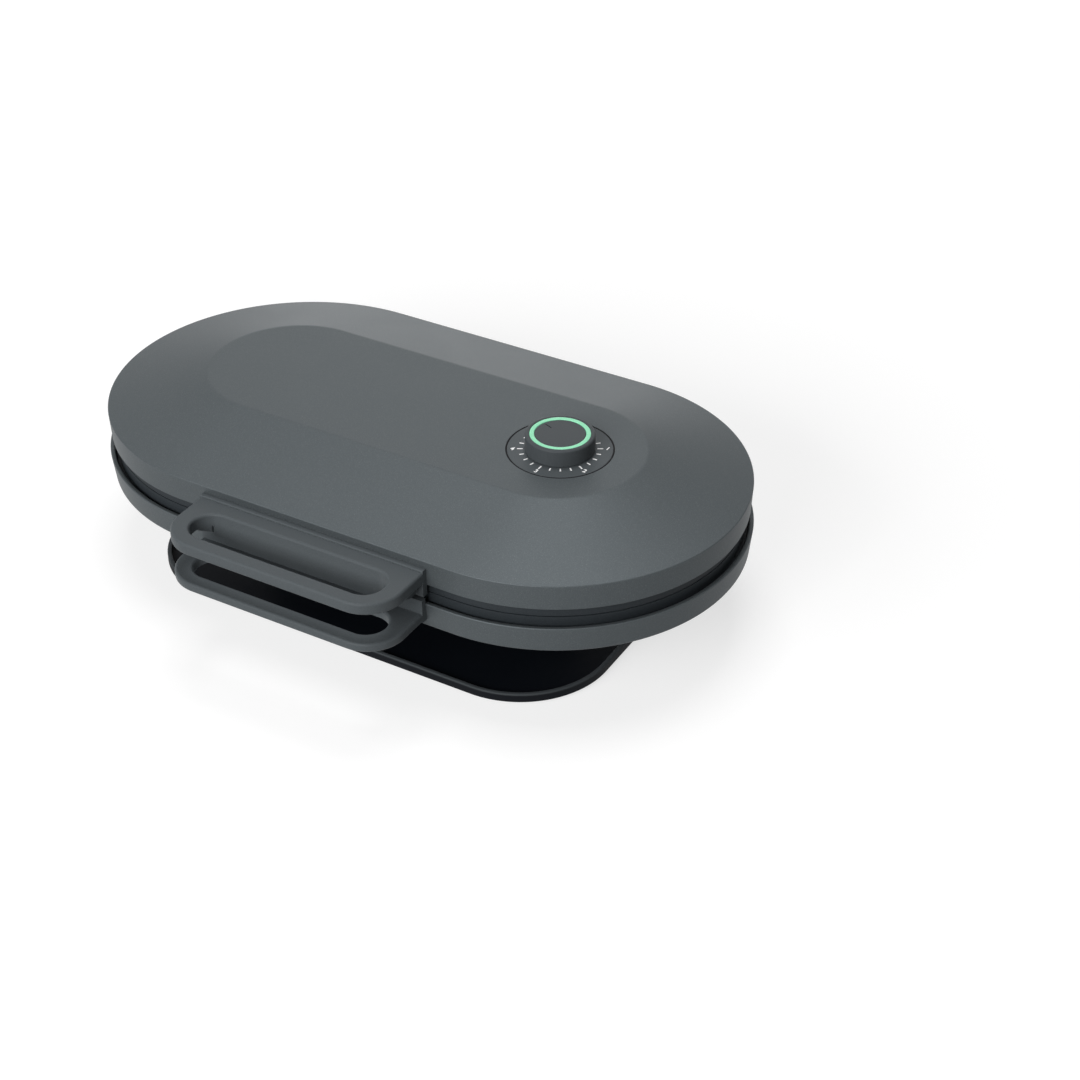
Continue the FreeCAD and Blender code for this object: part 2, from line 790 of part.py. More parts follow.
def upper_handle():
    top = rim_level - "handle_drop"
    low = upper_face + "parting_gap"

    def outside(level):
        return lid_radius(level) if level.value > lid_edge.value else lid_edge_radius

    thickness = dim("upper_handle_thickness")
    lip = top + "flange_lip"
    body, wall_front = handle("upper_handle", top, thickness, low, lip, outside, lid_edge)
    on_wall = wall_front.value

    def along_wall(edge, level):
        box = edge.BoundBox
        return at_level(edge, level) and abs(box.YMin - on_wall) < 1e-3 and abs(box.YMax - on_wall) < 1e-3

    fillet(body, "lip_round", lambda edge: along_wall(edge, lip))
    # a guard behind the fingers, closed by a rib at each end and cut along the slot
    under = top - thickness
    foot = low + "rib_lift"
    reach = -(dim("rim_radius") + "slot_setback" + "rib_lift")
    guard = new_sketch(body, "YZ_Plane", -dim("rib_start"))
    add_polygon(guard, [(wall_front, foot), (reach, foot), (reach, under), (wall_front, under)])
    pad(body, guard, dim("rib_start") * 2)
    for side in (1, -1):
        start = dim("rib_start") if side > 0 else -(dim("rib_start") + "rib_width")
        rib = new_sketch(body, "YZ_Plane", start)
        add_polygon(rib, [(wall_front, foot), (wall_front - "rib_toe", foot),
                          (wall_front - "rib_reach", under - "rib_lift"), (wall_front - "rib_reach", under),
                          (wall_front, under)])
        pad(body, rib, "rib_width")
    finger_room = new_sketch(body, "XY_Plane", under)
    slot_outline(finger_room)
    pocket(body, finger_room, under - low)
    blind_holes(body, upper_screw_level)
    return body


def lower_handle():
    top = rim_level - "lower_handle_drop"
    low = top - "lower_handle_thickness"
    high = lower_face - "parting_gap"

    def outside(level):
        return lower_radius(level) if level.value < lower_rim.value else lower_rim_radius

    body, _ = handle("lower_handle", top, dim("lower_handle_thickness"), low, high, outside, lower_rim)
    blind_holes(body, lower_screw_level)
    return body


def blind_holes(body, level):
    start = dim("rim_radius") - "wall"
    sketch = circles_sketch(body, [(x, level) for x in handle_places_x], screw_hole, start, "XZ_Plane")
    pocket(body, sketch, dim("wall") + "handle_screw_length", back=True)


def handle_screws(label, level, inside):
    places = [(x, level) for x in handle_places_x]
    length = dim("wall") + "handle_screw_length" - "screw_end_gap"
    return screws(label, places, inside, length, head_up=False, role="XZ_Plane")


def hinge_arm(label, side):
    # reaches from the lid's rear skirt back to the pivot
    body = new_body(label)
    start = dim("hinge_x") * side - dim("arm_width") / 2
    high = rim_level - "arm_top"
    low = lid_edge + "arm_foot"
    arm = new_sketch(body, "YZ_Plane", start)
    rise = dim("arm_rise")
    add_polygon(arm, [(lid_radius(low), low), (lid_radius(high), high), (hinge_y - rise, high),
                      (hinge_y + rise, dim("parting_height") + rise), (hinge_y - rise, dim("parting_height") + rise)])
    pad(body, arm, "arm_width")
    knuckle(body, start, "arm_width")
    return body


def knuckle(body, start, width):
    eye = new_sketch(body, "YZ_Plane", start)
    add_circle(eye, hinge_y, "parting_height", "knuckle_radius")
    pad(body, eye, width)
    bore = new_sketch(body, "YZ_Plane", start)
    add_circle(bore, hinge_y, "parting_height", dim("pin_radius") + "slip_gap")
    pocket(body, bore, width, back=True)


def hinge_bracket(label, side):
    # two cheeks beside the lid's arm, joined by a web on the housing's rear skirt
    body = new_body(label)
    outer = dim("arm_width") / 2 + "hinge_side_gap" + "cheek_width"
    low = lower_edge + "bracket_foot"
    high = lower_rim - "bracket_foot"
    web_high = low + "bracket_web"
    web = new_sketch(body, "YZ_Plane", dim("hinge_x") * side - outer)
    add_polygon(web, [(lower_radius(low), low), (hinge_y - "pin_radius", low), (hinge_y - "pin_radius", web_high),
                      (lower_radius(web_high), web_high)])
    pad(body, web, outer * 2)
    for start in (dim("hinge_x") * side - outer, dim("hinge_x") * side + outer - "cheek_width"):
        cheek = new_sketch(body, "YZ_Plane", start)
        back = hinge_y + "knuckle_radius"
        add_polygon(cheek, [(lower_radius(low), low), (hinge_y - "pin_radius", low), (back, high),
                            (back, "parting_height"), (hinge_y - "knuckle_radius", "parting_height"),
                            (hinge_y - "knuckle_radius", high), (lower_radius(high), high)])
        pad(body, cheek, "cheek_width")
        knuckle(body, start, "cheek_width")
    return body


def hinge_pin(label, side):
    body = new_body(label)
    half = dim("arm_width") / 2 + "hinge_side_gap" + "cheek_width"
    rod = new_sketch(body, "YZ_Plane", dim("hinge_x") * side - half)
    add_circle(rod, hinge_y, "parting_height", "pin_radius")
    pad(body, rod, half * 2)
    return body


def lower_housing():
    body = new_body("lower_housing")
    loft(body, [oval_sketch(body, "plateau_half", "plateau_radius", belly),
                oval_sketch(body, "half_straight", lower_edge_radius, lower_edge),
                oval_sketch(body, "half_straight", lower_rim_radius, lower_rim)])
    loft(body, [oval_sketch(body, "plateau_half", "plateau_radius", belly_inside),
                oval_sketch(body, "half_straight", lower_edge_radius - "wall", lower_edge + shoulder_drop),
                oval_sketch(body, "half_straight", lower_rim_radius - "wall", lower_rim)], "SubtractiveLoft")
    fillet(body, "crease_round", lambda edge: at_level(edge, lower_edge))
    floor = lower_edge - boss_belly
    bosses = circles_sketch(body, boss_places, "boss_radius", floor)
    pad(body, bosses, lower_frame_back - floor)
    pilots = circles_sketch(body, boss_places, screw_hole, lower_frame_back)
    pocket(body, pilots, "screw_grip")
    stand = circles_sketch(body, pedestal_places, screw_hole, belly_inside)
    pocket(body, stand, "drill_depth")
    round_holes_front(body, lower_screw_level, lower_rim_radius + "wall", "drill_depth")
    gland = new_sketch(body, "XZ_Plane", -(lower_rim_radius + "wall"))
    add_circle(gland, zero, gland_level, dim("gland_radius") + "slip_gap")
    pocket(body, gland, "drill_depth", back=True)
    return body


def cord_gland():
    # a sleeve through the rear wall, with a rounded mouth
    body = new_body("cord_gland")
    inside = lower_radius(gland_level) - "gland_inset"
    neck = new_sketch(body, "XZ_Plane", -inside)
    add_circle(neck, zero, gland_level, "gland_radius")
    add_circle(neck, zero, gland_level, "gland_bore")
    pad(body, neck, "gland_length", back=True)
    mouth = (inside + "gland_length").value
    fillet(body, "gland_lip", lambda edge: abs(edge.BoundBox.YMin - mouth) < 1e-4)
    return body


def block(label, x, y, level, length, width, height, down=False):
    body = new_body(label)
    outline = new_sketch(body, "XY_Plane", level)
    add_box(outline, x, y, length, width)
    pad(body, outline, height, back=down)
    return body


def pedestal():
    body = new_body("pedestal")
    wide = dim("pedestal_radius") + "pedestal_flare"
    loft(body, [oval_sketch(body, "pedestal_half", wide, base_top),
                oval_sketch(body, "pedestal_half", "pedestal_radius", (base_top + belly) / 2),
                oval_sketch(body, "pedestal_half", wide, belly)])
    hollow = oval_sketch(body, "pedestal_half", dim("pedestal_radius") - "pedestal_wall", base_top)
    depth = belly - base_top - "pedestal_wall"
    pocket(body, hollow, depth, back=True)
    pad(body, circles_sketch(body, pedestal_places, "pedestal_boss", base_top), depth)
    for level, back in ((base_top, True), (belly, False)):
        pocket(body, circles_sketch(body, pedestal_places, screw_hole, level), "screw_grip", back=back)
    return body


def base_plate():
    body = new_body("base_plate")
    outline = new_sketch(body, "XY_Plane", base_bottom)
    add_rounded_box(outline, "base_half_x", "base_half_y", "base_corner")
    pad(body, outline, "base_rim")
    tray = new_sketch(body, "XY_Plane", base_bottom + "base_rim")
    rim = dim("base_rim_width")
    add_rounded_box(tray, dim("base_half_x") - rim, dim("base_half_y") - rim, dim("base_corner") - rim)
    pocket(body, tray, dim("base_rim") - "base_floor")
    fillet(body, "base_round", lambda edge: at_level(edge, base_bottom + "base_rim"))
    feet = circles_sketch(body, foot_places, dim("foot_radius") + "fit_gap", base_bottom)
    pocket(body, feet, "foot_sink", back=True)
    pocket(body, circles_sketch(body, pedestal_places, screw_hole, base_bottom), "base_rim", back=True)
    sinks = circles_sketch(body, pedestal_places, head_hole, base_bottom)
    pocket(body, sinks, "screw_head_height", back=True)
    return body


def feet():
    body = new_body("feet")
    pad(body, circles_sketch(body, foot_places, "foot_radius", zero), "foot_height")
    return body


lid_cover()
frame("upper_frame", upper_face, upper_frame_back, 1)
frame("lower_frame", lower_face, lower_frame_back, -1)
for side_name, side in (("left", -1), ("right", 1)):
    waffle_plate("upper_plate_" + side_name, side, upper_face, up=False)
    waffle_plate("lower_plate_" + side_name, side, lower_face, up=True)
    heater("upper_heater_" + side_name, side, upper_face, up=False)
    heater("lower_heater_" + side_name, side, lower_face, up=True)
    hinge_arm("hinge_arm_" + side_name, side)
    hinge_bracket("hinge_bracket_" + side_name, side)
    hinge_pin("hinge_pin_" + side_name, side)
plate_screws("upper_plate_screws", upper_face, 1)
plate_screws("lower_plate_screws", lower_face, -1)
frame_screws("lid_screws", upper_face, 1)
frame_screws("housing_screws", lower_face, -1)
dial_plate()
thermostat()
thermostat_nut()
indicator_board()
knob_grip()
light_ring()
knob_cap()
knob_shaft()
upper_handle()
handle_screws("upper_handle_screws", upper_screw_level, lid_radius(upper_screw_level) - "wall" - "fit_gap")
lower_handle()
handle_screws("lower_handle_screws", lower_screw_level,
              lower_radius(lower_screw_level - "screw_head") - "wall" - "fit_gap")
lower_housing()
cord_gland()
block("thermal_fuse", "plate_spacing", zero, lower_face - "plate_depth",
      "fuse_length", "fuse_width", "fuse_height", down=True)
block("terminal_block", zero, "terminal_block_y", belly_inside,
      "terminal_block_length", "terminal_block_width", "terminal_block_height")
pedestal()
screws("pedestal_screws", pedestal_places, belly_inside, dim("wall") + "screw_grip" - "screw_end_gap", head_up=True)
screws("base_screws", pedestal_places, base_bottom + "screw_head_height",
       dim("base_floor") - "screw_head_height" + "screw_grip" - "screw_end_gap", head_up=False)
base_plate()
feet()
doc.recompute()

bodies = [thing for thing in doc.Objects if thing.TypeId == "PartDesign::Body"]
for thing in doc.Objects:
    if "Invalid" in thing.State or "Error" in thing.State:
        raise RuntimeError("failed: " + thing.Name)
for body in bodies:
    if body.Shape.isNull() or not body.Shape.isValid():
        raise RuntimeError("bad shape: " + body.Label)

os.makedirs("parts", exist_ok=True)
for body in bodies:
    body.Shape.exportStep("parts/" + body.Label + ".step")
    print("%-22s %d solids %10.0f mm3" % (body.Label, len(body.Shape.Solids), body.Shape.Volume))
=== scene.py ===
import math

import bmesh
import bpy
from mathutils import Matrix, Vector


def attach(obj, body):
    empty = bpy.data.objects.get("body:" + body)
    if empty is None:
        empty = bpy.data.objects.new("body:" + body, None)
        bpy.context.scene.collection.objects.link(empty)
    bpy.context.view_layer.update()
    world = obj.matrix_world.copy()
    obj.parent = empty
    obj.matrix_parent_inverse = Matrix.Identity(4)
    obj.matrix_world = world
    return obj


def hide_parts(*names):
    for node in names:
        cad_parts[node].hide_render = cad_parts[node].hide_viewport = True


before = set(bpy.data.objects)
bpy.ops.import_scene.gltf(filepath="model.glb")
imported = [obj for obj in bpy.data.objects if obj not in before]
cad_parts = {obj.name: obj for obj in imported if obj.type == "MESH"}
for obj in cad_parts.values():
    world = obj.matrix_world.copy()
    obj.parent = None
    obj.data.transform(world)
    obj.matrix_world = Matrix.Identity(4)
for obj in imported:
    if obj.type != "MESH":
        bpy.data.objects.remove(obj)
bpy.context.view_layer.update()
mm = 0.001
sameLevel = 2e-6  # metres within which points count as one level
bpy.context.scene.view_settings.view_transform = "Standard"
print("frame loaded,", len(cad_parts), "nodes")


# working helpers

def clearSelection():
    if bpy.context.object and bpy.context.object.mode != "OBJECT":
        bpy.ops.object.mode_set(mode="OBJECT")
    bpy.ops.object.select_all(action="DESELECT")


def useOnly(piece):
    clearSelection()
    piece.select_set(True)
    bpy.context.view_layer.objects.active = piece


def pickWhere(piece, test):
    # selects the points that pass the test, while in edit mode
    bpy.context.tool_settings.mesh_select_mode = (True, False, False)
    bm = bmesh.from_edit_mesh(piece.data)
    bm.verts.ensure_lookup_table()
    for part in (*bm.faces, *bm.edges):
        part.select = False
    for vert in bm.verts:
        vert.select = bool(test(vert))
    bm.select_flush_mode()
    bmesh.update_edit_mesh(piece.data)


def pickVerts(piece, test):
    # by place, in metres
    pickWhere(piece, lambda vert: test(vert.co))


def pickList(piece, indices):
    wanted = set(indices)
    pickWhere(piece, lambda vert: vert.index in wanted)


def pickedList(piece):
    bm = bmesh.from_edit_mesh(piece.data)
    bm.verts.index_update()
    return [vert.index for vert in bm.verts if vert.select]


def fourCorners(halfX, halfY, radius):
    # corner centres and radii of an oval, a rounded box or a circle
    return [(halfX, halfY, radius), (-halfX, halfY, radius), (-halfX, -halfY, radius), (halfX, -halfY, radius)]


def quarterOf(co):
    if co.y > 0:
        return 0 if co.x > 0 else 1
    return 3 if co.x > 0 else 2


def lastRing(work):
    return [index for members in work["quarters"] for index in members]


def startRing(name, corners, level, steps):
    # a circle whose four quarters are moved out to the corners
    clearSelection()
    bpy.ops.mesh.primitive_circle_add(vertices=steps, radius=1.0, location=(0, 0, 0),
                                      rotation=(0, 0, math.pi / steps))
    bpy.ops.object.transform_apply(location=True, rotation=True, scale=True)
    piece = bpy.context.object
    piece.name = name
    piece.data.name = name
    bpy.ops.object.mode_set(mode="EDIT")
    bm = bmesh.from_edit_mesh(piece.data)
    bm.verts.index_update()
    quarters = [[], [], [], []]
    for vert in bm.verts:
        quarters[quarterOf(vert.co)].append(vert.index)
    for members, (x, y, radius) in zip(quarters, corners):
        pickList(piece, members)
        bpy.ops.transform.resize(value=(radius * mm,) * 3, center_override=(0, 0, 0))
        bpy.ops.transform.translate(value=(x * mm, y * mm, level * mm))
    work = {"piece": piece, "quarters": quarters, "corners": corners, "level": level}
    work["first"] = lastRing(work)
    pickList(piece, work["first"])
    return work


def placeKey(co):
    return tuple(round(c, 7) for c in co)


def addRing(work, corners, level):
    # pulls a new ring out of the last one, and sets its corners and level
    piece = work["piece"]
    old = lastRing(work)
    pickList(piece, old)
    bm = bmesh.from_edit_mesh(piece.data)
    bm.verts.ensure_lookup_table()
    before = {index: placeKey(bm.verts[index].co) for index in old}
    bpy.ops.mesh.extrude_edges_move(TRANSFORM_OT_translate={"value": (0, 0, 0)})
    fresh = pickedList(piece)
    bm = bmesh.from_edit_mesh(piece.data)
    bm.verts.ensure_lookup_table()
    byPlace = {placeKey(bm.verts[index].co): index for index in fresh}
    quarters = [[byPlace[before[index]] for index in members] for members in work["quarters"]]
    for members, was, now in zip(quarters, work["corners"], corners):
        pickList(piece, members)
        scale = now[2] / was[2]
        centre = (was[0] * mm, was[1] * mm, work["level"] * mm)
        if abs(scale - 1) > 1e-9:
            bpy.ops.transform.resize(value=(scale, scale, 1), center_override=centre)
        shift = ((now[0] - was[0]) * mm, (now[1] - was[1]) * mm, (level - work["level"]) * mm)
        if any(shift):
            bpy.ops.transform.translate(value=shift)
    work.update(quarters=quarters, corners=corners, level=level)


def fillRing(work, ring):
    pickList(work["piece"], ring)
    bpy.ops.mesh.edge_face_add()


def closeLoop(work):
    pickList(work["piece"], work["first"] + lastRing(work))
    bpy.ops.mesh.bridge_edge_loops()


def bevelPicked(width, segments):
    bpy.ops.mesh.bevel(offset=width * mm, offset_type="OFFSET", segments=segments, profile=0.5, affect="EDGES",
                       clamp_overlap=True)


def pointOut():
    bpy.ops.mesh.select_all(action="SELECT")
    bpy.ops.mesh.normals_make_consistent(inside=False)


def roundLevel(piece, level, width, segments, where=None):
    # bevels the ring of edges at one level, or the part of it that passes a test
    def onRing(co):
        return abs(co.z - level * mm) <= sameLevel and (where is None or where(co))
    pickVerts(piece, onRing)
    bevelPicked(width, segments)


def applyModifier(piece, kind, **values):
    useOnly(piece)
    modifier = piece.modifiers.new(kind.title(), kind)
    for key, value in values.items():
        setattr(modifier, key, value)
    bpy.ops.object.modifier_apply(modifier=modifier.name)


def smoothFinish(piece, angle=32):
    useOnly(piece)
    bpy.ops.object.shade_smooth_by_angle(angle=math.radians(angle))
    applyModifier(piece, "WEIGHTED_NORMAL", mode="FACE_AREA", weight=50, keep_sharp=True)


def dress(piece, body, slotName, material, *nodes):
    piece.data.materials.clear()
    piece.data.materials.append(material)
    for polygon in piece.data.polygons:
        polygon.material_index = 0
    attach(piece, body)
    if nodes:
        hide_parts(*nodes)


def cutWith(piece, cutter):
    useOnly(piece)
    modifier = piece.modifiers.new("Cut", "BOOLEAN")
    modifier.operation = "DIFFERENCE"
    modifier.solver = "EXACT"
    modifier.object = cutter
    bpy.ops.object.modifier_apply(modifier=modifier.name)
    bpy.data.objects.remove(cutter, do_unlink=True)


def cutterRound(x, y, low, high, radius, steps):
    clearSelection()
    bpy.ops.mesh.primitive_cylinder_add(vertices=steps, radius=radius * mm, depth=(high - low) * mm,
                                        location=(x * mm, y * mm, (low + high) / 2 * mm))
    bpy.ops.object.transform_apply(location=True, rotation=True, scale=True)
    return bpy.context.object


easing = {"mergeWithin": 2e-6, "flatAngle": 0.6, "edgeAngle": 40, "segments": 2, "shadeAngle": 30, "cornerWithin": 1e-5}


def softCopy(node, name, width, corner=None):
    # a merged copy of a node's own shape, with its hard edges eased; corner is an inside corner to fill first
    clearSelection()
    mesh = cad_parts[node].data.copy()
    piece = bpy.data.objects.new(name, mesh)
    bpy.context.scene.collection.objects.link(piece)
    mesh.name = name
    useOnly(piece)
    bpy.ops.object.mode_set(mode="EDIT")
    bpy.ops.mesh.select_all(action="SELECT")
    bpy.ops.mesh.remove_doubles(threshold=easing["mergeWithin"])
    bpy.ops.mesh.dissolve_limited(angle_limit=math.radians(easing["flatAngle"]))
    if corner:
        near = easing["cornerWithin"]
        pickVerts(piece, lambda co: abs(co.y - corner["y"] * mm) < near and abs(co.z - corner["z"] * mm) < near)
        bevelPicked(corner["width"], corner["segments"])
    bpy.ops.object.mode_set(mode="OBJECT")
    if mesh.has_custom_normals:
        bpy.ops.mesh.customdata_custom_splitnormals_clear()
    applyModifier(piece, "BEVEL", width=width * mm, segments=easing["segments"], limit_method="ANGLE",
                  angle_limit=math.radians(easing["edgeAngle"]), use_clamp_overlap=True, harden_normals=False)
    smoothFinish(piece, easing["shadeAngle"])
    return piece


# shared effects, built once

def newGroup(name, inputs, outputs):
    group = bpy.data.node_groups.new(name, "ShaderNodeTree")
    for label, kind, value in inputs:
        socket = group.interface.new_socket(name=label, in_out="INPUT", socket_type=kind)
        socket.default_value = value
    for label, kind in outputs:
        group.interface.new_socket(name=label, in_out="OUTPUT", socket_type=kind)
    return group, group.nodes.new("NodeGroupInput"), group.nodes.new("NodeGroupOutput")


def makeFineGrain():
    # small pits of a sprayed coat or a moulded texture, as a height and a mask
    group, given, out = newGroup(
        "fineGrain",
        [("Vector", "NodeSocketVector", (0, 0, 0)), ("Scale", "NodeSocketFloat", 2500.0),
         ("Spread", "NodeSocketFloat", 0.35)],
        [("Height", "NodeSocketFloat"), ("Mask", "NodeSocketFloat")])
    nodes, links = group.nodes, group.links
    noise = nodes.new("ShaderNodeTexNoise")
    noise.inputs["Detail"].default_value = 3.0
    noise.inputs["Roughness"].default_value = 0.6
    cells = nodes.new("ShaderNodeTexVoronoi")
    cells.feature = "SMOOTH_F1"
    cells.inputs["Smoothness"].default_value = 0.5
    half = nodes.new("ShaderNodeMath")
    half.operation = "MULTIPLY"
    half.inputs[1].default_value = 0.45
    mix = nodes.new("ShaderNodeMath")
    mix.operation = "MULTIPLY_ADD"
    ramp = nodes.new("ShaderNodeMapRange")
    ramp.inputs["From Min"].default_value = 0.35
    ramp.inputs["From Max"].default_value = 0.7
    links.new(given.outputs["Vector"], noise.inputs["Vector"])
    links.new(given.outputs["Vector"], cells.inputs["Vector"])
    links.new(given.outputs["Scale"], noise.inputs["Scale"])
    links.new(given.outputs["Scale"], half.inputs[0])
    links.new(half.outputs[0], cells.inputs["Scale"])
    links.new(cells.outputs["Distance"], mix.inputs[0])
    links.new(given.outputs["Spread"], mix.inputs[1])
    links.new(noise.outputs["Fac"], mix.inputs[2])
    links.new(noise.outputs["Fac"], ramp.inputs["Value"])
    links.new(mix.outputs[0], out.inputs["Height"])
    links.new(ramp.outputs["Result"], out.inputs["Mask"])
    return group


def makeFlecks():
    # sparse bright specks, as in a metallic paint
    group, given, out = newGroup(
        "paintFlecks",
        [("Vector", "NodeSocketVector", (0, 0, 0)), ("Scale", "NodeSocketFloat", 1400.0),
         ("Share", "NodeSocketFloat", 0.12)],
        [("Mask", "NodeSocketFloat")])
    nodes, links = group.nodes, group.links
    cells = nodes.new("ShaderNodeTexVoronoi")
    colour = nodes.new("ShaderNodeSeparateColor")
    pick = nodes.new("ShaderNodeMath")
    pick.operation = "LESS_THAN"
    near = nodes.new("ShaderNodeMapRange")
    near.inputs["From Min"].default_value = 0.45
    near.inputs["From Max"].default_value = 0.1
    both = nodes.new("ShaderNodeMath")
    both.operation = "MULTIPLY"
    links.new(given.outputs["Vector"], cells.inputs["Vector"])
    links.new(given.outputs["Scale"], cells.inputs["Scale"])
    links.new(cells.outputs["Color"], colour.inputs["Color"])
    links.new(colour.outputs["Red"], pick.inputs[0])
    links.new(given.outputs["Share"], pick.inputs[1])
    links.new(cells.outputs["Distance"], near.inputs["Value"])
    links.new(pick.outputs[0], both.inputs[0])
    links.new(near.outputs["Result"], both.inputs[1])
    links.new(both.outputs[0], out.inputs["Mask"])
    return group


def makeHandling():
    # broad soft patches where hands and cloths have passed
    group, given, out = newGroup(
        "handlingMarks",
        [("Vector", "NodeSocketVector", (0, 0, 0)), ("Scale", "NodeSocketFloat", 18.0)],
        [("Mask", "NodeSocketFloat")])
    nodes, links = group.nodes, group.links
    broad = nodes.new("ShaderNodeTexNoise")
    broad.inputs["Detail"].default_value = 4.0
    broad.inputs["Distortion"].default_value = 0.4
    ramp = nodes.new("ShaderNodeMapRange")
    ramp.interpolation_type = "SMOOTHSTEP"
    ramp.inputs["From Min"].default_value = 0.3
    ramp.inputs["From Max"].default_value = 0.7
    links.new(given.outputs["Vector"], broad.inputs["Vector"])
    links.new(given.outputs["Scale"], broad.inputs["Scale"])
    links.new(broad.outputs["Fac"], ramp.inputs["Value"])
    links.new(ramp.outputs["Result"], out.inputs["Mask"])
    return group


fineGrain = makeFineGrain()
paintFlecks = makeFlecks()
handlingMarks = makeHandling()
print("effects ready")


def mixColours(nodes, links, factor, low, high):
    mix = nodes.new("ShaderNodeMix")
    mix.data_type = "RGBA"
    links.new(factor, mix.inputs[0])
    for socket, value in ((mix.inputs[6], low), (mix.inputs[7], high)):
        if hasattr(value, "is_linked"):
            links.new(value, socket)
        else:
            socket.default_value = (*value, 1)
    return mix.outputs[2]


def rangeTo(nodes, links, factor, low, high, fromLow=0.0, fromHigh=1.0):
    spread = nodes.new("ShaderNodeMapRange")
    spread.inputs["From Min"].default_value = fromLow
    spread.inputs["From Max"].default_value = fromHigh
    spread.inputs["To Min"].default_value = low
    spread.inputs["To Max"].default_value = high
    links.new(factor, spread.inputs["Value"])
    return spread.outputs["Result"]


def surface(name, look):
    # one recipe for moulded, coated and metal surfaces, each with its own values
    material = bpy.data.materials.new(name)
    material.use_nodes = True
    nodes, links = material.node_tree.nodes, material.node_tree.links
    shader = nodes["Principled BSDF"]
    place = nodes.new("ShaderNodeTexCoord")
    grain = nodes.new("ShaderNodeGroup")
    grain.node_tree = fineGrain
    grain.inputs["Scale"].default_value = look["grainScale"]
    marks = nodes.new("ShaderNodeGroup")
    marks.node_tree = handlingMarks
    links.new(place.outputs["Object"], grain.inputs["Vector"])
    links.new(place.outputs["Object"], marks.inputs["Vector"])
    dark, light = look["colours"]
    colour = mixColours(nodes, links, grain.outputs["Mask"], dark, light)
    if "fleck" in look:
        flecks = nodes.new("ShaderNodeGroup")
        flecks.node_tree = paintFlecks
        flecks.inputs["Scale"].default_value = look["fleckScale"]
        flecks.inputs["Share"].default_value = look["fleckShare"]
        links.new(place.outputs["Object"], flecks.inputs["Vector"])
        colour = mixColours(nodes, links, flecks.outputs["Mask"], colour, look["fleck"])
    # painted highlight: the colour is blended to a lighter one over a height band; the tray's rim top gets it for the
    # light it catches
    if "upper" in look:
        height = nodes.new("ShaderNodeSeparateXYZ")
        links.new(place.outputs["Object"], height.inputs[0])
        paintedRimShare = rangeTo(nodes, links, height.outputs["Z"], 0.0, 1.0, look["upperFrom"] * mm, look["upperTo"] * mm)
        colour = mixColours(nodes, links, paintedRimShare, colour, look["upper"])
    links.new(colour, shader.inputs["Base Color"])
    links.new(rangeTo(nodes, links, marks.outputs["Mask"], *look["roughness"]), shader.inputs["Roughness"])
    bump = nodes.new("ShaderNodeBump")
    bump.inputs["Strength"].default_value = look["bump"]
    bump.inputs["Distance"].default_value = look["depth"] * mm
    links.new(grain.outputs["Height"], bump.inputs["Height"])
    links.new(bump.outputs["Normal"], shader.inputs["Normal"])
    shader.inputs["Metallic"].default_value = look.get("metallic", 0.0)
    shader.inputs["Specular IOR Level"].default_value = look.get("specular", 0.5)
    if "glow" in look:
        shader.inputs["Emission Color"].default_value = (*look["glow"], 1)
        shader.inputs["Emission Strength"].default_value = look["glowStrength"]
    return material


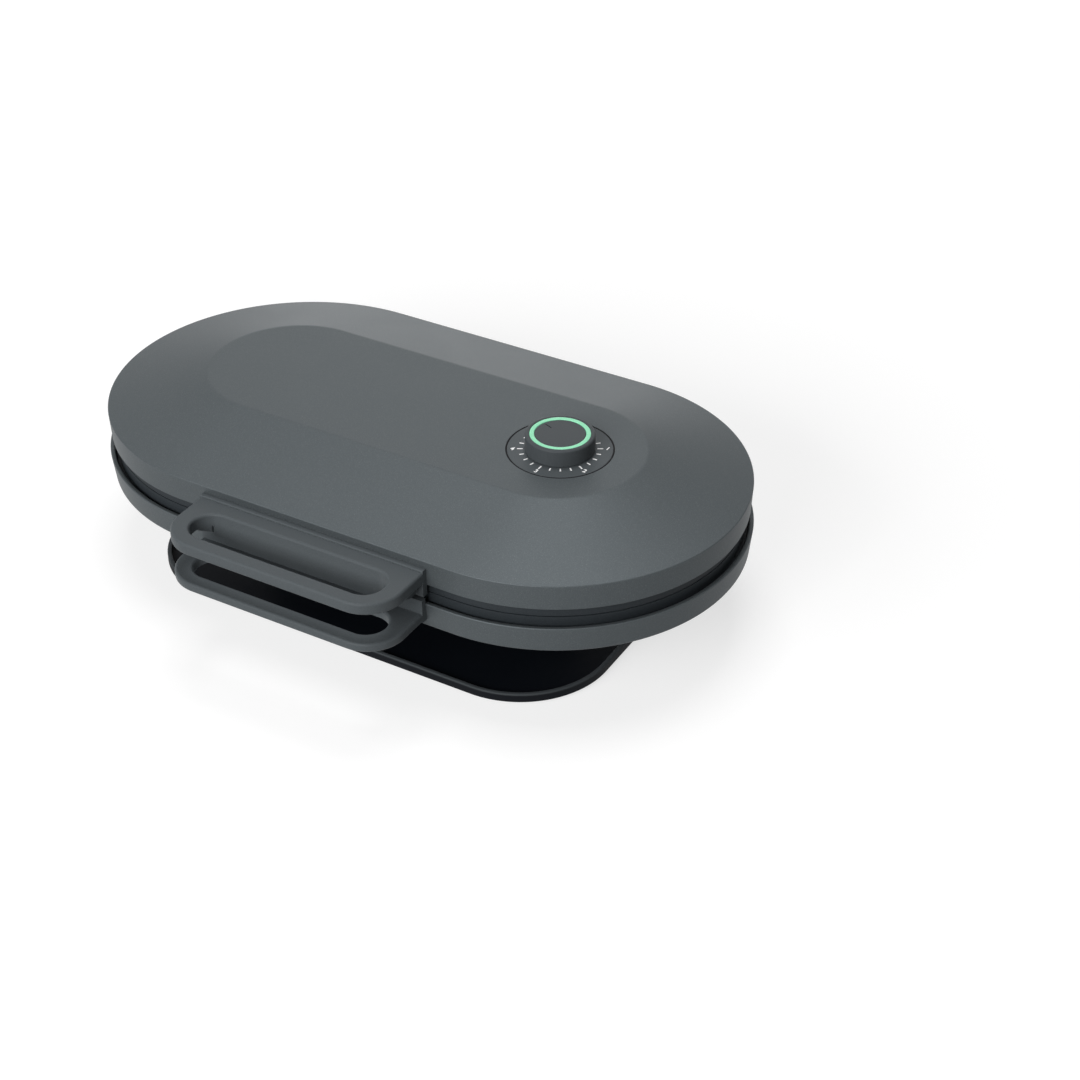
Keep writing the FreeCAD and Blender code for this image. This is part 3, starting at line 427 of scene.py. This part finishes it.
looks = {
    "shellCoat": {"colours": ((0.067, 0.077, 0.083), (0.089, 0.102, 0.108)), "grainScale": 2600,
                  "roughness": (0.49, 0.51), "bump": 0.16, "depth": 0.05, "specular": 0.12, "metallic": 0.4,
                  "fleck": (0.17, 0.18, 0.18), "fleckScale": 3000, "fleckShare": 0.16},
    "handlePlastic": {"colours": ((0.062, 0.071, 0.077), (0.081, 0.092, 0.098)), "grainScale": 2200,
                      "roughness": (0.44, 0.52), "bump": 0.12, "depth": 0.04, "specular": 0.12},
    "framePlastic": {"colours": ((0.019, 0.023, 0.027), (0.028, 0.034, 0.038)), "grainScale": 1800,
                     "roughness": (0.48, 0.58), "bump": 0.12, "depth": 0.04, "specular": 0.15},
    "hingePlastic": {"colours": ((0.016, 0.019, 0.021), (0.024, 0.027, 0.029)), "grainScale": 1800,
                     "roughness": (0.45, 0.55), "bump": 0.12, "depth": 0.04, "specular": 0.2},
    "dialPlastic": {"colours": ((0.064, 0.073, 0.079), (0.082, 0.093, 0.099)), "grainScale": 2600,
                    "roughness": (0.46, 0.54), "bump": 0.1, "depth": 0.04, "specular": 0.12},
    "knobPlastic": {"colours": ((0.050, 0.057, 0.062), (0.065, 0.073, 0.078)), "grainScale": 2600,
                    "roughness": (0.46, 0.54), "bump": 0.1, "depth": 0.04, "specular": 0.12},
    "lightGuide": {"colours": ((0.20, 0.60, 0.36), (0.26, 0.70, 0.44)), "grainScale": 900, "roughness": (0.28, 0.36),
                   "bump": 0.05, "depth": 0.03, "glow": (0.28, 0.80, 0.50), "glowStrength": 0.14},
    "basePlastic": {"colours": ((0.004, 0.005, 0.007), (0.007, 0.009, 0.011)), "grainScale": 1800,
                    "roughness": (0.5, 0.6), "bump": 0.12, "depth": 0.04, "specular": 0.12},
    # tray: near black, darker than the base plastic, as painted shade for the shade under the body, with a lighter band
    # over the rim's top edge as a painted highlight
    "trayPaintedShadeAndRimLight": {"colours": ((0.002, 0.003, 0.005), (0.004, 0.005, 0.007)), "grainScale": 1800,
                    "roughness": (0.5, 0.6), "bump": 0.12, "depth": 0.04, "specular": 0.1,
                    "upper": (0.055, 0.062, 0.067), "upperFrom": 6.2, "upperTo": 7.3},
    "coatedPlate": {"colours": ((0.030, 0.031, 0.032), (0.050, 0.051, 0.052)), "grainScale": 3200,
                    "roughness": (0.34, 0.46), "bump": 0.16, "depth": 0.03, "metallic": 0.25,
                    "fleck": (0.12, 0.12, 0.12), "fleckScale": 1800, "fleckShare": 0.08},
    "heaterSteel": {"colours": ((0.30, 0.29, 0.28), (0.44, 0.43, 0.42)), "grainScale": 900, "roughness": (0.35, 0.5),
                    "bump": 0.1, "depth": 0.03, "metallic": 1.0},
    "fastenerSteel": {"colours": ((0.17, 0.17, 0.17), (0.25, 0.25, 0.25)), "grainScale": 1500,
                      "roughness": (0.34, 0.46), "bump": 0.06, "depth": 0.02, "metallic": 1.0},
    "innerPlastic": {"colours": ((0.42, 0.40, 0.36), (0.52, 0.50, 0.46)), "grainScale": 1500, "roughness": (0.45, 0.55),
                     "bump": 0.08, "depth": 0.03},
    "circuitBoard": {"colours": ((0.015, 0.10, 0.045), (0.022, 0.14, 0.06)), "grainScale": 700,
                     "roughness": (0.35, 0.45), "bump": 0.06, "depth": 0.02},
    "rubber": {"colours": ((0.014, 0.014, 0.014), (0.022, 0.022, 0.022)), "grainScale": 1200, "roughness": (0.75, 0.85),
               "bump": 0.15, "depth": 0.05},
    "dialWhite": {"colours": ((0.90, 0.90, 0.90), (0.95, 0.95, 0.95)), "grainScale": 1600, "roughness": (0.5, 0.6),
                  "bump": 0.04, "depth": 0.02},
    # near black: the pointer's own dark colour, and on the ring in the dial's gap a painted shade
    "pointerInkAndGapShade": {"colours": ((0.003, 0.003, 0.004), (0.006, 0.006, 0.007)), "grainScale": 1600,
                    "roughness": (0.6, 0.7), "bump": 0.04, "depth": 0.02, "specular": 0.1},
}
surfaces = {name: surface(name, look) for name, look in looks.items()}
print("surfaces ready,", len(surfaces))

# lid: one oval pressing, sloped to a flat top that the dial sits in
lid = {"half": 95.0, "edgeLevel": 82.1, "edgeRadius": 119.2, "rimLevel": 98.7, "rimRadius": 120.0, "flatLevel": 115.7,
       "flatHalf": 96.2, "flatRadius": 55.0, "wall": 3.0, "shoulderDrop": 2.25, "rimRound": 0.6, "edgeRound": 0.4,
       "flatRound": 1.2, "seatX": 98.5, "seatRadius": 32.9, "seatDepth": 1.6, "seatSteps": 160, "cutRise": 5.0,
       "steps": 256}


def buildLid():
    inside = lid["flatLevel"] - lid["wall"]
    work = startRing("lidShell", fourCorners(lid["flatHalf"], 0, lid["flatRadius"]), inside, lid["steps"])
    addRing(work, fourCorners(lid["half"], 0, lid["rimRadius"] - lid["wall"]), lid["rimLevel"] - lid["shoulderDrop"])
    addRing(work, fourCorners(lid["half"], 0, lid["edgeRadius"] - lid["wall"]), lid["edgeLevel"])
    addRing(work, fourCorners(lid["half"], 0, lid["edgeRadius"]), lid["edgeLevel"])
    addRing(work, fourCorners(lid["half"], 0, lid["rimRadius"]), lid["rimLevel"])
    addRing(work, fourCorners(lid["flatHalf"], 0, lid["flatRadius"]), lid["flatLevel"])
    fillRing(work, lastRing(work))
    fillRing(work, work["first"])
    pointOut()
    piece = work["piece"]
    roundLevel(piece, lid["rimLevel"], lid["rimRound"], 4)
    roundLevel(piece, lid["edgeLevel"], lid["edgeRound"], 2)
    roundLevel(piece, lid["flatLevel"], lid["flatRound"], 3)
    seat = cutterRound(lid["seatX"], 0, lid["flatLevel"] - lid["seatDepth"], lid["flatLevel"] + lid["cutRise"],
                       lid["seatRadius"], lid["seatSteps"])
    cutWith(piece, seat)
    smoothFinish(piece)
    dress(piece, "lid", "shell_coat", surfaces["shellCoat"], "lid_cover")


buildLid()
print("lid done")

# lower housing: the same oval, upside down, with a flared skirt
housing = {"half": 95.0, "rimLevel": 70.2, "rimRadius": 121.5, "edgeLevel": 53.4, "edgeRadius": 119.7,
           "bellyLevel": 36.4, "bellyHalf": 96.2, "bellyRadius": 55.0, "wall": 3.0, "shoulderRise": 2.25,
           "rimRound": 0.8, "edgeRound": 1.2, "glandLevel": 60.4, "glandRadius": 4.25, "glandY": 120.0,
           "glandCut": 12.0, "glandSteps": 48, "steps": 256}


def buildHousing():
    inside = housing["bellyLevel"] + housing["wall"]
    belly = fourCorners(housing["bellyHalf"], 0, housing["bellyRadius"])
    work = startRing("lowerShell", belly, inside, housing["steps"])
    half, wall = housing["half"], housing["wall"]
    addRing(work, fourCorners(half, 0, housing["edgeRadius"] - wall), housing["edgeLevel"] + housing["shoulderRise"])
    addRing(work, fourCorners(half, 0, housing["rimRadius"] - wall), housing["rimLevel"])
    addRing(work, fourCorners(half, 0, housing["rimRadius"]), housing["rimLevel"])
    addRing(work, fourCorners(half, 0, housing["edgeRadius"]), housing["edgeLevel"])
    addRing(work, belly, housing["bellyLevel"])
    fillRing(work, lastRing(work))
    fillRing(work, work["first"])
    pointOut()
    piece = work["piece"]
    roundLevel(piece, housing["rimLevel"], housing["rimRound"], 3)
    roundLevel(piece, housing["edgeLevel"], housing["edgeRound"], 4)
    roundLevel(piece, housing["bellyLevel"], housing["edgeRound"], 3)
    clearSelection()
    bpy.ops.mesh.primitive_cylinder_add(vertices=housing["glandSteps"], radius=housing["glandRadius"] * mm,
                                        depth=housing["glandCut"] * mm, rotation=(math.pi / 2, 0, 0),
                                        location=(0, housing["glandY"] * mm, housing["glandLevel"] * mm))
    bpy.ops.object.transform_apply(location=True, rotation=True, scale=True)
    cutWith(piece, bpy.context.object)
    smoothFinish(piece)
    dress(piece, "base", "shell_coat", surfaces["shellCoat"], "lower_housing")


buildHousing()
print("lower housing done")

# base plate: a low tray with a rounded rim
tray = {"halfX": 158.0, "halfY": 106.6, "corner": 59.6, "low": 1.5, "high": 7.5, "floor": 4.5, "rim": 3.0,
        "rimRound": 1.0, "lowRound": 0.8, "steps": 192}


def buildTray():
    reachX, reachY = tray["halfX"] - tray["corner"], tray["halfY"] - tray["corner"]
    outer = fourCorners(reachX, reachY, tray["corner"])
    inner = fourCorners(reachX, reachY, tray["corner"] - tray["rim"])
    work = startRing("baseTray", outer, tray["low"], tray["steps"])
    addRing(work, outer, tray["high"])
    addRing(work, inner, tray["high"])
    addRing(work, inner, tray["floor"])
    fillRing(work, lastRing(work))
    fillRing(work, work["first"])
    pointOut()
    piece = work["piece"]
    roundLevel(piece, tray["high"], tray["rimRound"], 4)
    roundLevel(piece, tray["low"], tray["lowRound"], 3)
    smoothFinish(piece)
    # the tray's surface carries painted shade on its body and a painted highlight along its rim
    dress(piece, "base", "base_plastic", surfaces["trayPaintedShadeAndRimLight"], "base_plate")


buildTray()
print("base tray done")

# dial: a disc let into the lid, with white marks
dial = {"x": 98.5, "top": 115.7, "radius": 31.85, "thickness": 1.6, "edgeRound": 0.2, "steps": 160, "bushRadius": 5.2,
        "bushSteps": 48, "bushReach": 5.0, "grooveOuter": 32.85, "grooveDrop": 0.12, "grooveClear": 0.03,
        "grooveRound": 0.06, "tickInner": 22.4, "tickOuter": 25.2, "longOuter": 25.8, "tickWidth": 0.9,
        "tickRound": 0.02, "tickStep": 15, "tickFirst": -225, "tickLast": 45, "numberRadius": 28.6, "numberSize": 4.6,
        "numberBold": 0.12, "numbers": {1: 30, 2: -30, 3: -90, 4: -150, 5: 150}, "markRise": 0.06}


def moveAll(x):
    # in edit mode: the whole mesh goes along the long axis
    bpy.ops.mesh.select_all(action="SELECT")
    bpy.ops.transform.translate(value=(x * mm, 0, 0))


def bar(name, inner, outer, width, height, edgeRound, segments):
    # a flat bar from one radius to another, still about its own axis
    clearSelection()
    bpy.ops.mesh.primitive_cube_add(size=1)
    piece = bpy.context.object
    piece.name = name
    piece.data.name = name
    bpy.ops.object.mode_set(mode="EDIT")
    bpy.ops.transform.resize(value=((outer - inner) * mm, width * mm, height * mm))
    bpy.ops.mesh.select_all(action="SELECT")
    bpy.ops.mesh.bevel(offset=edgeRound * mm, segments=segments, affect="EDGES")
    moveAll(inner + (outer - inner) / 2)
    bpy.ops.object.mode_set(mode="OBJECT")
    return piece


def setAtAngle(piece, x, level, angle):
    piece.rotation_euler = (0, 0, math.radians(angle))
    piece.location = (x * mm, 0, level * mm)
    bpy.ops.object.transform_apply(location=True, rotation=True, scale=True)


def buildDialDisc():
    edge = fourCorners(0, 0, dial["radius"])
    work = startRing("dialDisc", edge, dial["top"] - dial["thickness"], dial["steps"])
    addRing(work, edge, dial["top"])
    fillRing(work, lastRing(work))
    fillRing(work, work["first"])
    pointOut()
    piece = work["piece"]
    roundLevel(piece, dial["top"], dial["edgeRound"], 2)
    moveAll(dial["x"])
    bush = cutterRound(dial["x"], 0, dial["top"] - dial["bushReach"], dial["top"] + dial["bushReach"],
                       dial["bushRadius"], dial["bushSteps"])
    cutWith(piece, bush)
    smoothFinish(piece)
    dress(piece, "lid", "dial_plastic", surfaces["dialPlastic"], "dial_plate")


def buildDialGroove():
    # a near-black ring filling the gap between disc and lid: painted shade in the gap
    inner = fourCorners(0, 0, dial["radius"] + dial["grooveClear"])
    outer = fourCorners(0, 0, dial["grooveOuter"])
    low, high = dial["top"] - dial["thickness"], dial["top"] - dial["grooveDrop"]
    work = startRing("dialGapShade", inner, low, dial["steps"])
    addRing(work, outer, low)
    addRing(work, outer, high)
    addRing(work, inner, high)
    closeLoop(work)
    pointOut()
    piece = work["piece"]
    roundLevel(piece, high, dial["grooveRound"], 2)
    moveAll(dial["x"])
    smoothFinish(piece)
    dress(piece, "lid", "dial_plastic", surfaces["pointerInkAndGapShade"])


def buildDialMarks():
    marks = []
    longAngles = list(dial["numbers"].values())
    for angle in range(dial["tickFirst"], dial["tickLast"] + 1, dial["tickStep"]):
        isLong = any((angle - other) % 360 == 0 for other in longAngles)
        outer = dial["longOuter"] if isLong else dial["tickOuter"]
        tick = bar("tick", dial["tickInner"], outer, dial["tickWidth"], dial["markRise"], dial["tickRound"], 1)
        setAtAngle(tick, dial["x"], dial["top"], angle)
        marks.append(tick)
    for number, angle in dial["numbers"].items():
        clearSelection()
        bpy.ops.object.text_add()
        figure = bpy.context.object
        figure.data.body = str(number)
        figure.data.size = dial["numberSize"] * mm
        figure.data.align_x = "CENTER"
        figure.data.align_y = "CENTER"
        figure.data.extrude = dial["markRise"] / 2 * mm
        figure.data.offset = dial["numberBold"] * mm
        bpy.ops.object.convert(target="MESH")
        turn = math.radians(angle)
        figure.location = ((dial["x"] + dial["numberRadius"] * math.cos(turn)) * mm,
                           dial["numberRadius"] * math.sin(turn) * mm, dial["top"] * mm)
        bpy.ops.object.transform_apply(location=True, rotation=True, scale=True)
        marks.append(figure)
    clearSelection()
    for mark in marks:
        mark.select_set(True)
    bpy.context.view_layer.objects.active = marks[0]
    bpy.ops.object.join()
    piece = bpy.context.object
    piece.name = "dialMarks"
    piece.data.name = "dialMarks"
    bpy.ops.object.shade_flat()
    dress(piece, "lid", "dial_plastic", surfaces["dialWhite"])


buildDialDisc()
buildDialGroove()
buildDialMarks()
print("dial done")

# knob: a shallow cup with a lit ring and a flat cap
knob = {"x": 98.5, "low": 116.1, "radius": 21.2, "height": 10.7, "topRound": 1.3, "lowRound": 0.3, "lipRound": 0.25,
        "ringOuter": 18.45, "ringInner": 15.6, "ringTop": 10.6, "ringClear": 0.05, "ringRound": 0.35,
        "capRadius": 15.5, "capTop": 10.4, "capRound": 0.4, "well": 5.8, "wellClear": 0.1, "wall": 3.0, "bore": 3.1,
        "webLow": 3.5, "edgeReach": 0.1, "pointerAngle": 160, "pointerInner": 8.2, "pointerOuter": 13.6,
        "pointerWidth": 0.7, "pointerHeight": 0.3, "pointerRound": 0.05, "pointerSink": 0.12, "steps": 128}


def lathe(name, profile):
    # rings about the knob's axis, left open to be closed or capped
    radius, level = profile[0]
    work = startRing(name, fourCorners(0, 0, radius), knob["low"] + level, knob["steps"])
    for radius, level in profile[1:]:
        addRing(work, fourCorners(0, 0, radius), knob["low"] + level)
    return work


def axisGap(co):
    return math.hypot(co.x, co.y)


def buildGrip():
    skirt, seat = knob["radius"] - knob["wall"], knob["ringOuter"] + knob["ringClear"]
    grip = lathe("knobGrip", [(knob["bore"], knob["webLow"]), (skirt, knob["webLow"]), (skirt, 0), (knob["radius"], 0),
                              (knob["radius"], knob["height"]), (seat, knob["height"]), (seat, knob["well"]),
                              (knob["bore"], knob["well"])])
    closeLoop(grip)
    pointOut()
    piece = grip["piece"]
    top, reach = knob["low"] + knob["height"], knob["edgeReach"]
    outside, inside = (knob["radius"] - reach) * mm, (knob["ringOuter"] + reach) * mm
    roundLevel(piece, top, knob["topRound"], 5, where=lambda co: axisGap(co) > outside)
    roundLevel(piece, knob["low"], knob["lowRound"], 2, where=lambda co: axisGap(co) > outside)
    roundLevel(piece, top, knob["lipRound"], 2, where=lambda co: axisGap(co) < inside)
    moveAll(knob["x"])
    smoothFinish(piece)
    dress(piece, "knob", "knob_plastic", surfaces["knobPlastic"], "knob_grip")


def buildRing():
    low = knob["well"] + knob["wellClear"]
    ring = lathe("lightRing", [(knob["ringInner"], low), (knob["ringOuter"], low),
                               (knob["ringOuter"], knob["ringTop"]), (knob["ringInner"], knob["ringTop"])])
    closeLoop(ring)
    pointOut()
    piece = ring["piece"]
    roundLevel(piece, knob["low"] + knob["ringTop"], knob["ringRound"], 3)
    moveAll(knob["x"])
    smoothFinish(piece)
    dress(piece, "knob", "light_guide", surfaces["lightGuide"], "light_ring")


def buildCap():
    low = knob["well"] + knob["wellClear"]
    cap = lathe("knobCap", [(knob["capRadius"], low), (knob["capRadius"], knob["capTop"])])
    fillRing(cap, lastRing(cap))
    fillRing(cap, cap["first"])
    pointOut()
    piece = cap["piece"]
    roundLevel(piece, knob["low"] + knob["capTop"], knob["capRound"], 3)
    moveAll(knob["x"])
    smoothFinish(piece)
    dress(piece, "knob", "knob_plastic", surfaces["knobPlastic"], "knob_cap")


def buildPointer():
    pointer = bar("knobPointer", knob["pointerInner"], knob["pointerOuter"], knob["pointerWidth"],
                  knob["pointerHeight"], knob["pointerRound"], 2)
    setAtAngle(pointer, knob["x"], knob["low"] + knob["capTop"] - knob["pointerSink"], knob["pointerAngle"])
    dress(pointer, "knob", "knob_plastic", surfaces["pointerInkAndGapShade"])


buildGrip()
buildRing()
buildCap()
buildPointer()
print("knob done")

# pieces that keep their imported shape, with eased edges
easedPieces = {
    "upper_frame": ("upperFrame", "lid", "frame_plastic", "framePlastic", 0.35),
    "lower_frame": ("lowerFrame", "base", "frame_plastic", "framePlastic", 0.35),
    "upper_handle": ("upperHandle", "lid", "handle_plastic", "handlePlastic", 0.5),
    "lower_handle": ("lowerHandle", "base", "handle_plastic", "handlePlastic", 0.5),
    "upper_plate_left": ("upperPlateLeft", "lid", "coated_plate", "coatedPlate", 0.4),
    "upper_plate_right": ("upperPlateRight", "lid", "coated_plate", "coatedPlate", 0.4),
    "lower_plate_left": ("lowerPlateLeft", "base", "coated_plate", "coatedPlate", 0.4),
    "lower_plate_right": ("lowerPlateRight", "base", "coated_plate", "coatedPlate", 0.4),
    "hinge_arm_left": ("hingeArmLeft", "lid", "hinge_plastic", "hingePlastic", 0.6),
    "hinge_arm_right": ("hingeArmRight", "lid", "hinge_plastic", "hingePlastic", 0.6),
    "hinge_bracket_left": ("hingeBracketLeft", "base", "hinge_plastic", "hingePlastic", 0.6),
    "hinge_bracket_right": ("hingeBracketRight", "base", "hinge_plastic", "hingePlastic", 0.6),
    "pedestal": ("standNeck", "base", "base_plastic", "basePlastic", 0.5),
}
insideCorners = {"upper_handle": {"y": -123.27, "z": 92.7, "width": 0.65, "segments": 4}}
for node, (name, body, slotName, look, width) in easedPieces.items():
    dress(softCopy(node, name, width, insideCorners.get(node)), body, slotName, surfaces[look], node)
print("eased pieces done")

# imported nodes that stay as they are
nodeLooks = {"heater": "heaterSteel", "screws": "fastenerSteel", "hinge_pin": "fastenerSteel",
             "thermostat_nut": "fastenerSteel", "knob_shaft": "fastenerSteel", "thermostat": "innerPlastic",
             "terminal_block": "innerPlastic", "thermal_fuse": "innerPlastic", "indicator_board": "circuitBoard",
             "feet": "rubber", "cord_gland": "basePlastic"}
for node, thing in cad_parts.items():
    look = next((value for key, value in nodeLooks.items() if key in node), "framePlastic")
    for slotItem in thing.material_slots:
        slotItem.material = surfaces[look]
print("node surfaces set")

# studio: white floor and soft light
studio = {"floorSize": 8.0, "floorColour": (0.40, 0.40, 0.40), "floorRoughness": 0.8, "floorSpecular": 0.2,
          "liftNear": 0.66, "liftFar": 1.0, "liftFrom": 0.30, "liftTo": 1.6, "worldStrength": 0.05}


def seenRays(nodes, links):
    # 1 for rays that show the backdrop: straight to the camera, mirrored or through glass
    path = nodes.new("ShaderNodeLightPath")
    seen = path.outputs["Is Camera Ray"]
    for kind in ("Is Glossy Ray", "Is Transmission Ray"):
        most = nodes.new("ShaderNodeMath")
        most.operation = "MAXIMUM"
        links.new(seen, most.inputs[0])
        links.new(path.outputs[kind], most.inputs[1])
        seen = most.outputs[0]
    return seen


def buildFloor():
    clearSelection()
    bpy.ops.mesh.primitive_plane_add(size=studio["floorSize"], location=(0, 0, 0))
    floor = bpy.context.object
    floor.name = "studioFloor"
    material = bpy.data.materials.new("studioFloor")
    material.use_nodes = True
    nodes, links = material.node_tree.nodes, material.node_tree.links
    shader = nodes["Principled BSDF"]
    shader.inputs["Base Color"].default_value = (*studio["floorColour"], 1)
    shader.inputs["Roughness"].default_value = studio["floorRoughness"]
    shader.inputs["Specular IOR Level"].default_value = studio["floorSpecular"]
    lift = nodes.new("ShaderNodeEmission")  # keeps the floor white, more so further out
    place = nodes.new("ShaderNodeTexCoord")
    reach = nodes.new("ShaderNodeVectorMath")
    reach.operation = "LENGTH"
    links.new(place.outputs["Object"], reach.inputs[0])
    amount = rangeTo(nodes, links, reach.outputs["Value"], studio["liftNear"], studio["liftFar"],
                     studio["liftFrom"], studio["liftTo"])
    strength = nodes.new("ShaderNodeMath")
    strength.operation = "MULTIPLY"
    links.new(amount, strength.inputs[1])
    total = nodes.new("ShaderNodeAddShader")
    links.new(seenRays(nodes, links), strength.inputs[0])
    links.new(strength.outputs[0], lift.inputs["Strength"])
    links.new(shader.outputs[0], total.inputs[0])
    links.new(lift.outputs[0], total.inputs[1])
    links.new(total.outputs[0], nodes["Material Output"].inputs["Surface"])
    floor.data.materials.append(material)


def buildWorld():
    world = bpy.data.worlds.new("studioWorld")
    bpy.context.scene.world = world
    world.use_nodes = True
    nodes, links = world.node_tree.nodes, world.node_tree.links
    back = nodes["Background"]
    back.inputs["Color"].default_value = (1, 1, 1, 1)
    level = rangeTo(nodes, links, seenRays(nodes, links), studio["worldStrength"], 1.0)
    links.new(level, back.inputs["Strength"])


lamps = {
    "rearSoft": {"place": (-0.98, 1.69, 0.50), "aim": (0.0, 0.0, 0.08), "size": 1.0, "power": 4.7},
    "overhead": {"place": (-0.10, 0.30, 2.06), "aim": (0.0, 0.0, 0.08), "size": 1.0, "power": 20.0},
    "frontLow": {"place": (-0.47, -1.75, 0.93), "aim": (0.0, 0.0, 0.08), "size": 1.0, "power": 18.0},
    "rightLow": {"place": (0.25, -1.80, 0.90), "aim": (0.1, 0.0, 0.08), "size": 0.8, "power": 21.0},
}


def facing(thing):
    # the turn that points a lamp or the camera from its place to its aim
    return (Vector(thing["aim"]) - Vector(thing["place"])).to_track_quat("-Z", "Y").to_euler()


def buildLamps():
    for name, lamp in lamps.items():
        clearSelection()
        bpy.ops.object.light_add(type="AREA", location=lamp["place"])
        light = bpy.context.object
        light.name = name
        light.data.shape = "SQUARE"
        light.data.size = lamp["size"]
        light.data.energy = lamp["power"]
        light.rotation_euler = facing(lamp)


shot = {"place": (0.63917, -0.95512, 0.80285), "aim": (0.12417, -0.06821, 0.0987), "lens": 72.0, "sensor": 36.0}


def buildCamera():
    clearSelection()
    bpy.ops.object.camera_add(location=shot["place"])
    camera = bpy.context.object
    camera.name = "photoCamera"
    camera.rotation_euler = facing(shot)
    camera.data.lens = shot["lens"]
    camera.data.sensor_width = shot["sensor"]
    camera.data.sensor_fit = "HORIZONTAL"
    bpy.context.scene.camera = camera


buildFloor()
buildWorld()
buildLamps()
buildCamera()
print("studio ready")
